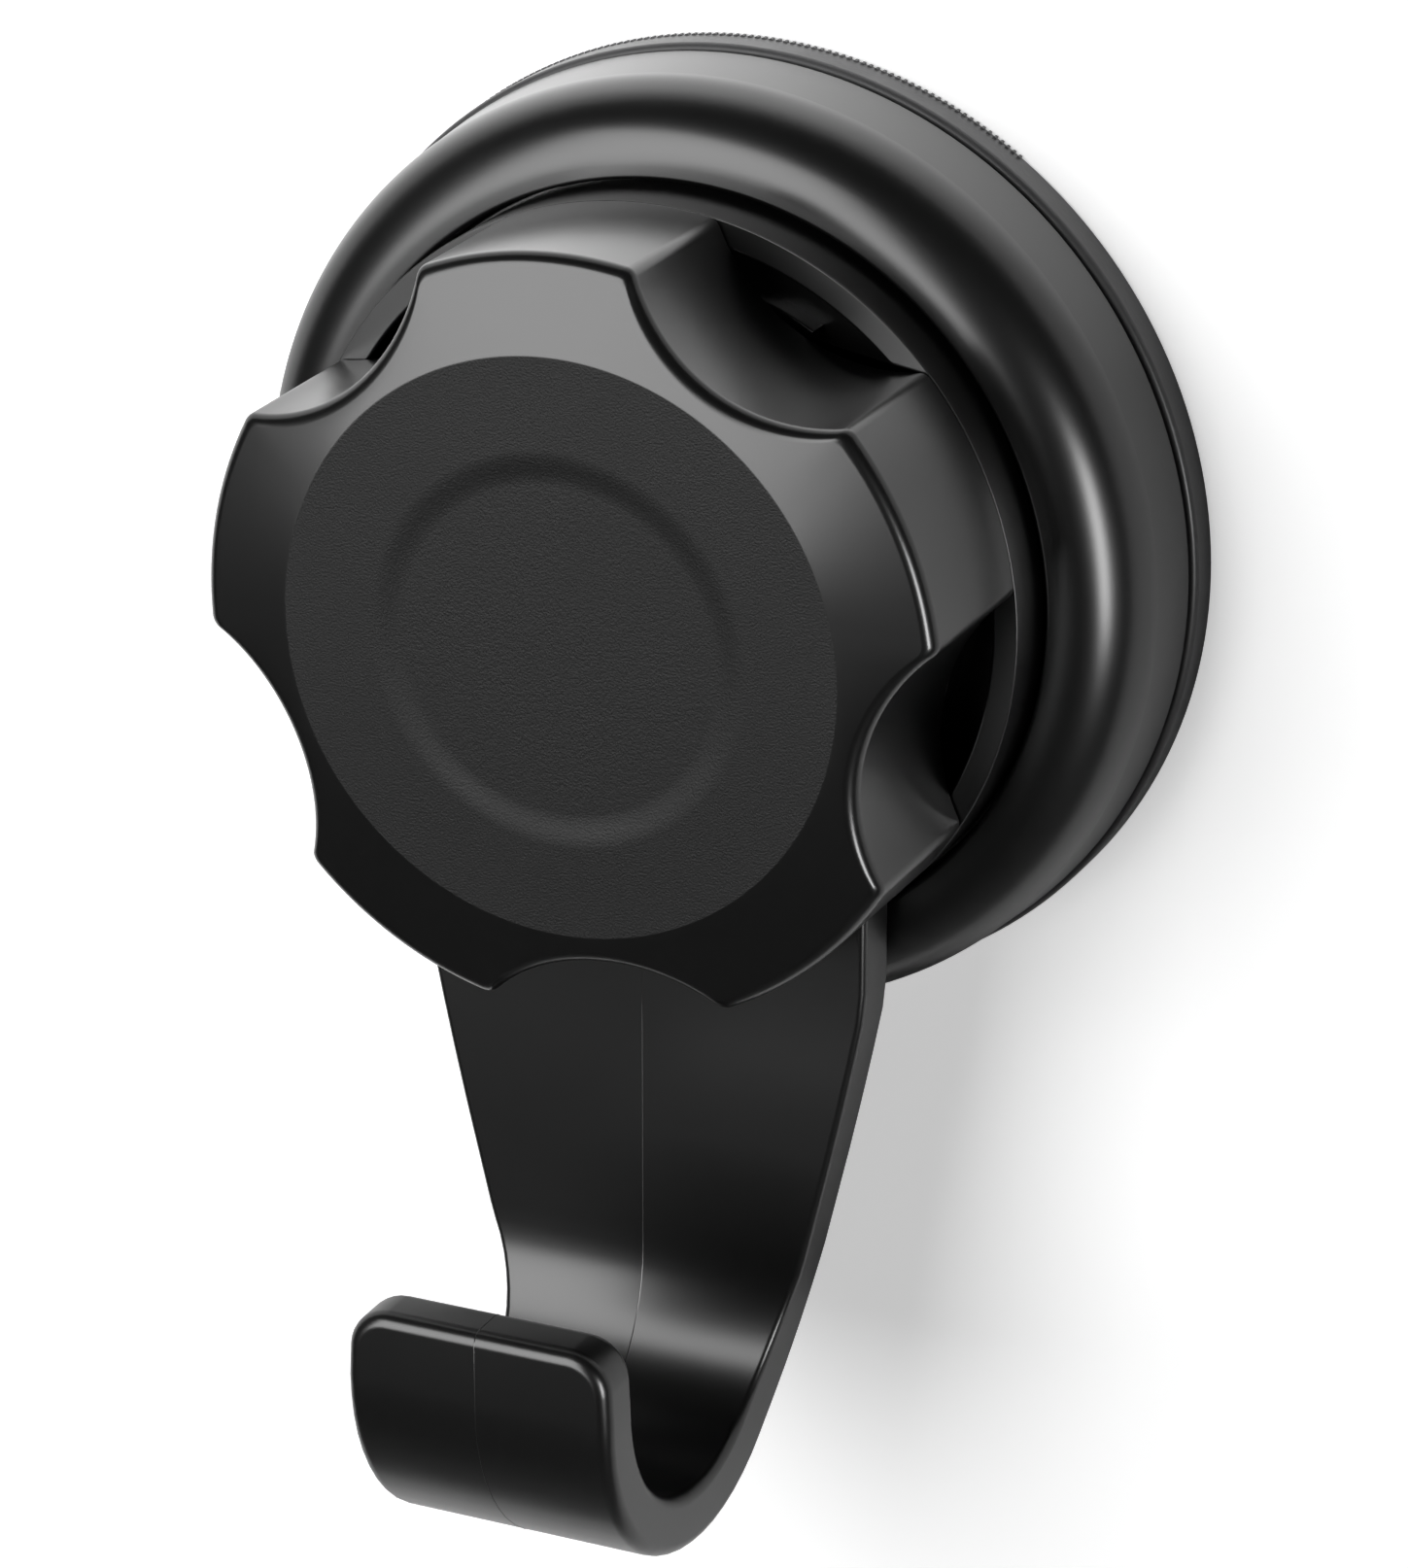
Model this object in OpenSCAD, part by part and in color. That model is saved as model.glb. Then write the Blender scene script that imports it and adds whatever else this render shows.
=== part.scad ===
// Suction cup hook: a rubber cup drawn tight by a star knob, with a broad J hook hanging below it.
// The wall is the plane y = 0. The origin is the middle of the sealing face, +Z is up and -Y is the room.
// Every piece is drawn lying on the wall plane, x across, y up and z away from the wall, then stood up.

/* [Suction cup] */
// Outside diameter of the rubber cup
cup_d = 71.2; // [66:0.2:80]
// Thickness of the cup's rim
cup_rim_t = 3; // [2:0.1:4]
// Width of the flat lip that seals on the wall
lip_w = 4.8; // [3:0.1:7]
// Height of the vacuum space at the middle, with the knob tightened
cavity_h = 3.2; // [3.1:0.1:4]
// Thickness of the rubber over the vacuum space
membrane_t = 2.2; // [1.4:0.1:2.6]
// Diameter of the boss that holds the stud
cup_boss_d = 20; // [16:0.5:26]
// Bevel round the rim's front edge
cup_bevel = 0.5; // [0.2:0.1:1]

/* [Threaded stud] */
// Thread diameter
stud_d = 8; // [6:0.5:10]
// Diameter of the flange moulded into the cup
stud_flange_d = 14; // [12:0.5:15]
// Thickness of that flange
stud_flange_t = 1.6; // [1:0.1:2]
// Rubber between the flange and the vacuum space
flange_cover = 1.4; // [0.8:0.1:1.6]
// Length of thread inside the knob
stud_engage = 13.7; // [8:0.1:14]

/* [Housing] */
// Outside diameter at the back edge
housing_d = 70.4; // [65:0.2:76]
// How much narrower the side wall is at the start of the round shoulder
housing_draft = 0.4; // [0:0.1:1]
// Depth of the flat side wall
side_wall_h = 5.1; // [4:0.1:8]
// Radius of the round shoulder
nose_r = 5.4; // [4.6:0.1:6]
// Wall thickness
housing_wall = 2.2; // [1.6:0.1:2.6]
// Thickness of the floor that the hook's head rests on
housing_floor_t = 2.5; // [2:0.1:3]
// Open groove between the back edge and the rubber
back_groove = 0.4; // [0.2:0.1:0.8]
// Width of the foot that presses on the rubber
foot_w = 1.8; // [1.2:0.1:2.2]

/* [Hook] */
// Outside diameter of the round head
head_d = 56; // [50:0.2:57]
// Wall thickness of the head
head_wall = 1.9; // [1.4:0.1:3]
// Thickness of the head's floor
head_floor_t = 2.4; // [1.8:0.1:3]
// Depth of the head, from its back to its rim
head_h = 7.2; // [6:0.1:7.6]
// How far the head's rim stands out of the housing
head_stand = 4.1; // [3.6:0.1:6]
// Radius of the low ring inside the head
inner_ring_r = 22.3; // [18:0.1:24]
// Width of the low ring
inner_ring_w = 1.4; // [1:0.1:2]
// Height of the low ring
inner_ring_h = 1.8; // [1:0.1:3]
// Angle that each gap in the low ring takes
inner_ring_gap = 18; // [10:1:30]
// Thickness of the arm
arm_t = 4.4; // [3.5:0.1:5]
// How far the arm's face stands in front of the head's rim
arm_step = 1.5; // [0.5:0.1:2]
// Width of the arm where it leaves the head
arm_root_w = 34.8; // [28:0.2:40]
// Length of straight edge below the head before the arm narrows
arm_shoulder = 2; // [0.5:0.1:6]
// Width of the arm at the start of the bend
arm_neck_w = 25; // [21:0.2:27]
// Width at the bottom of the bend
bend_w = 20.6; // [16:0.2:21]
// Distance below the bend's centre at which the bend has that width
waist_drop = 9; // [5:0.1:14]
// Inside radius of the bend
bend_r = 11.6; // [8:0.1:13]
// Distance from the knob's axis down to the centre of the bend
bend_drop = 51.3; // [48:0.1:60]
// Width of the tip at its top
tip_w = 20.1; // [16:0.1:21]
// Height of the tip above the centre of the bend
tip_rise = 5.3; // [4:0.1:12]
// Radius of the tip's top corners
tip_corner_r = 3; // [1:0.1:5]

/* [Knob] */
// Outside diameter over the lobes
knob_d = 56; // [48:0.2:57]
// Height from the back edge to the flat of the face
knob_h = 15.1; // [13:0.1:20]
// Number of lobes
lobes = 5; // [4:1:7]
// Angle of the first lobe from +X
lobe_angle = 96.3; // [0:0.1:360]
// Radius of the hollow between two lobes
flute_r = 14.1; // [12:0.1:18]
// Depth of that hollow at the face
flute_depth = 4.9; // [3:0.1:6.5]
// How much shallower it is at the back edge
flute_draft = 0.1; // [0:0.1:1.2]
// Diameter of the textured disc
disc_d = 42.4; // [36:0.2:44]
// How far the face falls away from the disc to the lobes
face_drop = 1.2; // [0.4:0.1:2]
// Radius of the edge round the face
face_edge_r = 1.1; // [0.5:0.1:1.5]
// Diameter of the shallow dish in the disc
dish_d = 26.4; // [16:0.2:32]
// Depth of that dish
dish_depth = 0.5; // [0.2:0.1:1]
// Wall thickness of the knob
knob_wall = 1.9; // [1.4:0.1:2.6]
// Thickness of the knob's face
face_t = 2.6; // [2:0.1:3.2]
// Diameter of the hub that holds the thread
hub_d = 16; // [14:0.5:20]
// Thickness of the ribs between the hub and the walls
rib_t = 1.6; // [1:0.1:2.4]

/* [Fits] */
// Radial clearance of the stud in the knob and in the cup
thread_gap = 0.05; // [0.02:0.01:0.1]
// Radial clearance of the stud in the floors that it passes
pass_gap = 0.6; // [0.3:0.1:1]
// Radial clearance of the hook's head in the housing
head_gap = 0.4; // [0.2:0.1:0.8]
// Clearance between the knob's back edge and the head's rim
turn_gap = 0.2; // [0.1:0.1:0.5]
// Clearance between the knob's hub and the head's floor
hub_gap = 0.1; // [0.1:0.1:0.3]
// Clearance round the knob where the arm rises in front of the rim
arm_gap = 0.8; // [0.5:0.1:2]
// Clearance between the cup's boss and the housing's floor
boss_gap = 0.3; // [0.1:0.1:0.5]

/* [Hidden] */
$fn = 180;
cup_r = cup_d / 2;
housing_r = housing_d / 2;
head_r = head_d / 2;
knob_r = knob_d / 2;
lip_in_r = cup_r - lip_w;
boss_r = cup_boss_d / 2;

// Depths from the wall, in the order in which the pieces are stacked
flange_back = cavity_h + flange_cover;
flange_front = flange_back + stud_flange_t;
housing_back = cup_rim_t + back_groove;
nose_z = housing_back + side_wall_h;
nose_top = nose_z + nose_r;
rim_z = nose_top + head_stand;
head_back = rim_z - head_h;
head_floor_z = head_back + head_floor_t;
boss_top = head_back - housing_floor_t - boss_gap;
hub_back = head_floor_z + hub_gap;
stud_tip = hub_back + stud_engage;
knob_back = rim_z + turn_gap;
face_z = knob_back + knob_h;
arm_front = rim_z + arm_step;
arm_back = arm_front - arm_t;
bend_z = arm_front + bend_r;

// Radii that follow from their neighbours
nose_edge_r = housing_r - housing_draft;
nose_x = nose_edge_r - nose_r;
pocket_r = head_r + head_gap;
head_in_r = head_r - head_wall;
pass_r = stud_d / 2 + pass_gap;
outer_bend_r = bend_r + arm_t;
arm_top_y = -sqrt(head_r * head_r - arm_root_w * arm_root_w / 4);
shoulder_y = -head_r - arm_shoulder;
bottom_y = -bend_drop - outer_bend_r;
tip_top_y = -bend_drop + tip_rise;
flute_x = knob_r - flute_depth + flute_r;
round_cut = 0.01;
deep = 200;

// Turns a piece drawn flat on the wall plane so that it stands in the room
module stand() {
    rotate([90, 0, 0])
        children();
}

// A ring of the given radii between two depths
module tube(outer, inner, low, high) {
    translate([0, 0, low])
        difference() {
            cylinder(h = high - low, r = outer);
            translate([0, 0, -1])
                cylinder(h = high - low + 2, r = inner);
        }
}

// Height of the vacuum space at a distance from the middle
function vault(r) = cavity_h * (1 - cos(180 * (lip_in_r - r) / (lip_in_r - boss_r))) / 2;

// The cup's half section, from the sealing lip round to the boss
module cup_section() {
    steps = 8;
    radii = [for (i = [0 : steps]) lip_in_r + (boss_r - lip_in_r) * i / steps];
    polygon(concat(
        [for (r = radii) [r, vault(r)]],
        [[0, cavity_h], [0, boss_top], [boss_r, boss_top]],
        [for (i = [steps : -1 : 0]) [radii[i], vault(radii[i]) + membrane_t]],
        [[lip_in_r + lip_w / 4, cup_rim_t], [cup_r - cup_bevel, cup_rim_t],
         [cup_r, cup_rim_t - cup_bevel], [cup_r, 0]]));
}

module suction_cup() {
    color([0.13, 0.13, 0.135])
        stand()
            difference() {
                rotate_extrude()
                    cup_section();
                translate([0, 0, flange_back - thread_gap])
                    cylinder(h = stud_flange_t + 2 * thread_gap, r = stud_flange_d / 2 + thread_gap);
                translate([0, 0, flange_front])
                    cylinder(h = boss_top, r = stud_d / 2 + thread_gap);
            }
}

module threaded_stud() {
    color([0.2, 0.2, 0.2])
        stand() {
            translate([0, 0, flange_back])
                cylinder(h = stud_flange_t, r = stud_flange_d / 2);
            translate([0, 0, flange_back])
                cylinder(h = stud_tip - flange_back, r = stud_d / 2);
        }
}

// The housing's outer outline, a drafted wall under a round shoulder
module housing_outline() {
    polygon([[0, housing_back], [housing_r, housing_back], [nose_edge_r, nose_z], [0, nose_z]]);
    translate([nose_x, nose_z])
        intersection() {
            circle(r = nose_r);
            square([nose_r + 1, nose_r + 1]);
        }
    translate([pocket_r, nose_z])
        intersection() {
            translate([nose_x - pocket_r, 0])
                circle(r = nose_r);
            square([max(nose_x - pocket_r, 0) + round_cut, nose_r + 1]);
        }
    square([pocket_r + round_cut, head_back]);
}

// The space under the housing's floor and inside its shoulder
module housing_hollow() {
    inner_r = nose_edge_r - housing_wall;
    translate([0, -1])
        square([inner_r, head_back - housing_floor_t + 1]);
    translate([nose_x, nose_z])
        intersection() {
            circle(r = nose_r - housing_wall);
            translate([pocket_r + housing_wall - nose_x, -nose_r])
                square([nose_r, 2 * nose_r]);
        }
}

module housing() {
    foot_r = nose_edge_r - housing_wall + foot_w;
    color([0.1, 0.1, 0.1])
        stand() {
            difference() {
                rotate_extrude()
                    difference() {
                        intersection() {
                            housing_outline();
                            translate([0, housing_back])
                                square([housing_r, deep]);
                        }
                        housing_hollow();
                    }
                translate([0, 0, head_back])
                    cylinder(h = deep, r = pocket_r);
                cylinder(h = deep, r = pass_r);
            }
            tube(foot_r, foot_r - foot_w, cup_rim_t, nose_z);
        }
}

// The arm seen from the front, from inside the head's wall down to the bottom of the bend
module arm_front_outline() {
    half = [[arm_root_w / 2, arm_top_y], [arm_root_w / 2, shoulder_y], [arm_neck_w / 2, -bend_drop],
            [bend_w / 2, -bend_drop - waist_drop], [bend_w / 2, bottom_y]];
    polygon(concat(half, [for (i = [len(half) - 1 : -1 : 0]) [-half[i][0], half[i][1]]]));
}

// The tip seen from the front, with round top corners
module tip_front_outline() {
    c = tip_corner_r;
    polygon([[-bend_w / 2, bottom_y], [bend_w / 2, bottom_y], [tip_w / 2, tip_top_y - c],
             [tip_w / 2 - c, tip_top_y - c], [-tip_w / 2 + c, tip_top_y - c], [-tip_w / 2, tip_top_y - c]]);
    translate([-tip_w / 2 + c, tip_top_y - 2 * c])
        square([tip_w - 2 * c, 2 * c]);
    for (side = [-1, 1])
        translate([side * (tip_w / 2 - c), tip_top_y - c])
            circle(r = c);
}

// The J seen from the side, x away from the wall and y up
module side_outline() {
    difference() {
        union() {
            translate([arm_back, -bend_drop])
                square([arm_t, bend_drop + arm_top_y]);
            translate([bend_z, -bend_drop])
                circle(r = outer_bend_r);
            translate([bend_z + bend_r, -bend_drop])
                square([arm_t, tip_rise]);
        }
        translate([bend_z, -bend_drop])
            circle(r = bend_r);
        translate([bend_z - bend_r, -bend_drop])
            square([2 * bend_r, deep]);
    }
}

// A front outline given the thickness of the side outline, between two depths
module bent_to_side(low, high) {
    intersection() {
        translate([0, 0, low])
            linear_extrude(height = high - low)
                children();
        rotate([0, -90, 0])
            linear_extrude(height = deep, center = true)
                side_outline();
    }
}

// The low ring on the head's floor, open at three gaps
module inner_ring() {
    difference() {
        tube(inner_ring_r, inner_ring_r - inner_ring_w, head_back + head_floor_t / 2, head_floor_z + inner_ring_h);
        for (i = [0 : 2])
            rotate([0, 0, 120 * i + 60 - inner_ring_gap])
                translate([0, 0, head_floor_z])
                    rotate_extrude(angle = inner_ring_gap)
                        translate([inner_ring_r / 2, 0])
                            square([inner_ring_r, inner_ring_h + 1]);
    }
}

module hook() {
    color([0.1, 0.1, 0.1])
        stand() {
            difference() {
                translate([0, 0, head_back])
                    cylinder(h = head_h, r = head_r);
                translate([0, 0, head_floor_z])
                    cylinder(h = head_h, r = head_in_r);
                cylinder(h = deep, r = pass_r);
            }
            inner_ring();
            difference() {
                bent_to_side(arm_back, bend_z)
                    arm_front_outline();
                translate([0, 0, rim_z])
                    cylinder(h = deep, r = knob_r + arm_gap);
                cylinder(h = deep, r = head_r - head_wall / 2);
            }
            bent_to_side(bend_z, bend_z + outer_bend_r)
                tip_front_outline();
        }
}

// One hollow between two lobes, widened by a margin, narrower towards the back
module flute(margin) {
    taper = flute_draft / knob_h;
    translate([flute_x, 0, knob_back - 1])
        cylinder(h = knob_h + 2, r1 = flute_r - flute_draft - taper + margin, r2 = flute_r + taper + margin);
}

// Puts a copy of a shape in the middle of each gap between lobes
module each_flute() {
    for (i = [0 : lobes - 1])
        rotate([0, 0, lobe_angle + 360 * (i + 0.5) / lobes])
            children();
}

// The knob's outside as a turned shape, with a falling face and a round edge
module knob_blank() {
    edge_z = face_z - face_drop - face_edge_r;
    rotate_extrude() {
        polygon([[0, knob_back], [knob_r, knob_back], [knob_r, edge_z], [knob_r - face_edge_r, face_z - face_drop],
                 [disc_d / 2, face_z], [0, face_z]]);
        translate([knob_r - face_edge_r, edge_z])
            intersection() {
                circle(r = face_edge_r);
                square(face_edge_r + 1);
            }
    }
}

// The space inside the knob, which follows the lobes
module knob_hollow() {
    difference() {
        translate([0, 0, knob_back - 1])
            cylinder(h = knob_h - face_t + 1, r = knob_r - knob_wall);
        each_flute()
            flute(knob_wall);
    }
}

// The hub that holds the thread, with a rib from it to each wall
module knob_core() {
    top = face_z - face_t / 2;
    rib_back = knob_back + knob_h / 4;
    translate([0, 0, hub_back])
        cylinder(h = top - hub_back, r = hub_d / 2);
    each_flute()
        translate([0, -rib_t / 2, rib_back])
            cube([flute_x - flute_r - knob_wall / 2, rib_t, top - rib_back]);
}

module knob() {
    dish_ball_r = (dish_d * dish_d / 4 + dish_depth * dish_depth) / (2 * dish_depth);
    color([0.09, 0.09, 0.09])
        stand()
            difference() {
                union() {
                    difference() {
                        knob_blank();
                        each_flute()
                            flute(0);
                        knob_hollow();
                    }
                    knob_core();
                }
                translate([0, 0, hub_back - 1])
                    cylinder(h = stud_engage + 2, r = stud_d / 2 + thread_gap);
                translate([0, 0, face_z - dish_depth + dish_ball_r])
                    sphere(r = dish_ball_r);
            }
}

suction_cup();
threaded_stud();
housing();
hook();
knob();
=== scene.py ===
"""Suction cup hook: a rubber cup drawn tight by a star knob, with a broad J hook below its round head.

The wall is the plane y = 0, the knob's axis is the Y axis, and -Y is the room. A depth is a distance from the wall.
"""

import math

import bpy
from mathutils import Matrix, Vector


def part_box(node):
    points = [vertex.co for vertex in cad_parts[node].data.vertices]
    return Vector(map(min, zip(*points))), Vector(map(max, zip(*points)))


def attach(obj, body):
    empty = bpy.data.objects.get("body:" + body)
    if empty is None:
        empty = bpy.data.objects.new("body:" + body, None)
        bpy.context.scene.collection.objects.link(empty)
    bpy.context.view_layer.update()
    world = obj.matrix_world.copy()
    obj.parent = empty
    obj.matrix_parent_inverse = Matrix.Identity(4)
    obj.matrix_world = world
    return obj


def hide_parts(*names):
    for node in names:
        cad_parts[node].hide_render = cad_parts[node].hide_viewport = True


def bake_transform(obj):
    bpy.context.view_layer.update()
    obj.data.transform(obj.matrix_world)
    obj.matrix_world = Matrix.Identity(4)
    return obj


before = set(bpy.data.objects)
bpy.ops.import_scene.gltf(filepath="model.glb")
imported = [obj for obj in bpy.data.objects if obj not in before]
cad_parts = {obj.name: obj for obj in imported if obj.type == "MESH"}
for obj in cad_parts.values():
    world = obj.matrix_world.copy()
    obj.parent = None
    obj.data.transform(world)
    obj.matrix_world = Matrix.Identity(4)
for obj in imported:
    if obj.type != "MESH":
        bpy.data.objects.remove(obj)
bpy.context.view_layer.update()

bl_info = {
    "name": "Suction Cup Hook",
    "version": (1, 0, 0),
    "blender": (4, 5, 0),
    "location": "View3D > Sidebar > Cup Hook",
    "description": "Builds the cup, screw, housing, hook and star knob of a suction cup hook, and a studio for them",
    "category": "Add Mesh",
}

MM = 0.001
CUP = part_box("suction_cup")
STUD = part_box("threaded_stud")
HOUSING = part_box("housing")
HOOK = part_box("hook")
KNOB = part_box("knob")


def length(label, note, default):
    """A size in metres for a property group."""
    return bpy.props.FloatProperty(name=label, description=note, default=default, min=0, unit="LENGTH", precision=5)


def colour(label, note, default):
    """A colour for a property group."""
    return bpy.props.FloatVectorProperty(name=label, description=note, default=default, size=3, min=0, max=1,
                                         subtype="COLOR")


def number(label, note, default):
    """A plain number for a property group."""
    return bpy.props.FloatProperty(name=label, description=note, default=default, min=0)


class CupSizes(bpy.types.PropertyGroup):
    rim_r: length("Rim radius", "Outside radius of the rubber cup", CUP[1].x)
    rim_t: length("Rim thickness", "Thickness of the cup's rim", 3 * MM)
    lip_w: length("Lip width", "Width of the flat lip that seals on the wall", 4.8 * MM)
    space_h: length("Space height", "Height of the space under the cup's middle", 3.2 * MM)
    skin_t: length("Skin thickness", "Rubber over that space", 2.2 * MM)
    boss_r: length("Boss radius", "Radius of the boss round the screw", 10 * MM)
    tooth_w: length("Tooth width", "Width of one ridge of the grip along the rim's top", 0.28 * MM)
    tooth_h: length("Tooth height", "How far each ridge stands out", 0.12 * MM)
    teeth: bpy.props.IntProperty(name="Ridges", description="Ridges along the rim's top", default=124, min=12)


class HousingSizes(bpy.types.PropertyGroup):
    back_r: length("Back radius", "Outside radius at the back edge", HOUSING[1].x)
    draft: length("Draft", "How much the side wall narrows towards the shoulder", 0.4 * MM)
    wall_h: length("Side wall", "Depth of the flat side wall", 5.1 * MM)
    shoulder_r: length("Shoulder radius", "Radius of the round shoulder", 5.4 * MM)
    wall_t: length("Wall thickness", "Thickness of the wall", 2.2 * MM)
    foot_w: length("Foot width", "Width of the foot that presses on the rubber", 1.8 * MM)
    pocket_r: length("Pocket radius", "Radius of the pocket for the hook's head", 28.4 * MM)
    pocket_back: length("Pocket floor", "Depth of the pocket's floor", -HOOK[1].y)
    floor_t: length("Floor thickness", "Thickness of that floor", 2.5 * MM)
    hole_r: length("Hole radius", "Radius of the hole that the screw passes", 4.6 * MM)


class HookSizes(bpy.types.PropertyGroup):
    head_r: length("Head radius", "Outside radius of the round head", 28 * MM)
    head_wall: length("Head wall", "Wall thickness of the head", 1.9 * MM)
    head_floor: length("Head floor", "Depth of the floor inside the head", 13.2 * MM)
    rim_depth: length("Rim depth", "Depth of the head's rim", 18 * MM)
    ring_r: length("Ring radius", "Outside radius of the low ring inside the head", 22.3 * MM)
    ring_w: length("Ring width", "Width of the low ring", 1.4 * MM)
    ring_h: length("Ring height", "Height of the low ring", 1.8 * MM)
    arm_front: length("Arm face", "Depth of the arm's face", 19.5 * MM)
    arm_t: length("Arm thickness", "Thickness of the arm", 4.4 * MM)
    step_r: length("Step radius", "Radius of the step that clears the knob", 28.3 * MM)
    bend_r: length("Bend radius", "Inside radius of the bend", 11.6 * MM)
    bend_drop: length("Bend drop", "From the knob's axis down to the centre of the bend", 51.3 * MM)
    tip_rise: length("Tip rise", "Height of the tip over the centre of the bend", 5.3 * MM)
    tip_round: length("Tip corner", "Radius of the tip's corners", 3 * MM)
    edge_r: length("Edge radius", "Radius along the tip's edges", 1.05 * MM)
    edge_share: number("Arm edges", "Radius along the arm's edges, as a share of the tip's", 0.5)
    seam_h: length("Seam height", "How far the moulding line stands out", 0.03 * MM)


class KnobSizes(bpy.types.PropertyGroup):
    lobe_r: length("Lobe radius", "Outside radius over the lobes", -KNOB[0].x)
    back: length("Back", "Depth of the knob's back edge", 18.2 * MM)
    face: length("Face", "Depth of the textured disc", -KNOB[0].y)
    fall: length("Fall", "How far the face falls from the disc to the lobes", 1.2 * MM)
    hollow_at: length("Hollow centre", "From the axis to the centre of a hollow's arc", 37.2 * MM)
    hollow_r: length("Hollow radius", "Radius of a hollow at the face", 14.1 * MM)
    hollow_draft: length("Hollow draft", "How much smaller that radius is at the back", 0.1 * MM)
    corner_r: length("Corner radius", "Radius of the corners of a lobe", 1 * MM)
    edge_r: length("Edge radius", "Radius of the edge round the face", 0.9 * MM)
    disc_r: length("Disc radius", "Radius of the textured disc", 21.2 * MM)
    dish_r: length("Dish radius", "Radius of the shallow dish", 13.2 * MM)
    dish_depth: length("Dish depth", "Depth of the dish", 0.2 * MM)
    wall_t: length("Wall thickness", "Wall thickness", 1.9 * MM)
    face_t: length("Face thickness", "Thickness of the face", 2.6 * MM)
    hub_r: length("Hub radius", "Radius of the hub", 8 * MM)
    bore_r: length("Bore radius", "Radius of the hub's bore", 4.05 * MM)
    rib_t: length("Rib thickness", "Thickness of the ribs", 1.6 * MM)
    lobe_angle: bpy.props.FloatProperty(name="Turn", description="Angle of the first lobe from +X",
                                        default=math.radians(96.3), subtype="ANGLE")
    lobes: bpy.props.IntProperty(name="Lobes", description="Number of lobes", default=5, min=3)


class Finishes(bpy.types.PropertyGroup):
    black: colour("Black plastic", "Satin black of the moulded parts", (0.004, 0.004, 0.004))
    rubber: colour("Rubber", "Dark grey of the cup", (0.07, 0.07, 0.072))
    screw: colour("Screw", "Plain moulded screw", (0.05, 0.05, 0.05))
    backdrop: colour("Backdrop", "Wall and floor", (0.9, 0.9, 0.9))
    grain: length("Grain", "Size of the grain on the knob's disc", 0.16 * MM)


class StudioSettings(bpy.types.PropertyGroup):
    lens: bpy.props.FloatProperty(name="Lens", description="Focal length for a 36 mm sensor along the long side",
                                  default=140.9, min=20)
    camera_at: bpy.props.FloatVectorProperty(name="Camera", description="Where the camera stands", size=3,
                                             default=(0.17474, -0.38881, 0.14563), subtype="TRANSLATION")
    azimuth: bpy.props.FloatProperty(name="Azimuth", description="How far the camera stands to the right",
                                     default=math.radians(24.7), subtype="ANGLE")
    elevation: bpy.props.FloatProperty(name="Elevation", description="How far it looks down",
                                       default=math.radians(21.42), subtype="ANGLE")
    wall_glow: number("Wall glow", "What the backdrop adds for the camera", 0.52)
    # Painted light: the strength of a glow patch on the backdrop just above the object, which only reflections see.
    painted_reflection_glow: number("Wall shine", "What the backdrop adds in reflections, just above the object", 1)
    sky: number("Ambient", "Light from all round", 0.03)


def begin():
    """Leaves edit mode and lets go of whatever is selected."""
    if bpy.context.object and bpy.context.object.mode != "OBJECT":
        bpy.ops.object.mode_set(mode="OBJECT")
    bpy.ops.object.select_all(action="DESELECT")


def edit(piece, mode):
    """Opens a piece for editing in VERT, EDGE or FACE mode."""
    begin()
    bpy.context.view_layer.objects.active = piece
    piece.select_set(True)
    bpy.ops.object.mode_set(mode="EDIT")
    bpy.ops.mesh.select_mode(type=mode)


def pick(piece, test):
    """Selects just the points of a piece that pass a test, and stays in edit mode."""
    bpy.ops.mesh.select_mode(type="VERT")
    bpy.ops.mesh.select_all(action="DESELECT")
    bpy.ops.object.mode_set(mode="OBJECT")
    for point in piece.data.vertices:
        point.select = bool(test(point.co))
    bpy.ops.object.mode_set(mode="EDIT")


def pick_edges(piece, test):
    """Selects just the edges whose two ends and their ends' middle pass a test."""
    bpy.ops.mesh.select_mode(type="EDGE")
    bpy.ops.mesh.select_all(action="DESELECT")
    bpy.ops.object.mode_set(mode="OBJECT")
    for edge in piece.data.edges:
        a, b = (piece.data.vertices[i].co for i in edge.vertices)
        edge.select = bool(test(a, b))
    bpy.ops.object.mode_set(mode="EDIT")


def settle(name):
    """Names the piece in hand and puts its place in its mesh."""
    piece = bpy.context.object
    piece.name = piece.data.name = name
    bpy.ops.object.transform_apply(location=True, rotation=True, scale=True)
    return piece


def modify(piece, kind, **values):
    """Adds one modifier to a piece and applies it."""
    begin()
    bpy.context.view_layer.objects.active = piece
    piece.select_set(True)
    made = piece.modifiers.new(kind.title(), kind)
    for key, value in values.items():
        setattr(made, key, value)
    bpy.ops.object.modifier_apply(modifier=made.name)


def join(piece, *others):
    """Joins other meshes into a piece."""
    begin()
    for other in others:
        other.select_set(True)
    piece.select_set(True)
    bpy.context.view_layer.objects.active = piece
    bpy.ops.object.join()


def finish(piece, sharp=40, doubles=0.002):
    """Merges doubles, points faces outwards and shades a finished piece."""
    edit(piece, "VERT")
    bpy.ops.mesh.select_all(action="SELECT")
    bpy.ops.mesh.remove_doubles(threshold=doubles * MM)
    bpy.ops.mesh.normals_make_consistent(inside=False)
    begin()
    piece.select_set(True)
    bpy.context.view_layer.objects.active = piece
    bpy.ops.object.shade_smooth_by_angle(angle=math.radians(sharp))
    modify(piece, "WEIGHTED_NORMAL", keep_sharp=True, weight=60)


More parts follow.
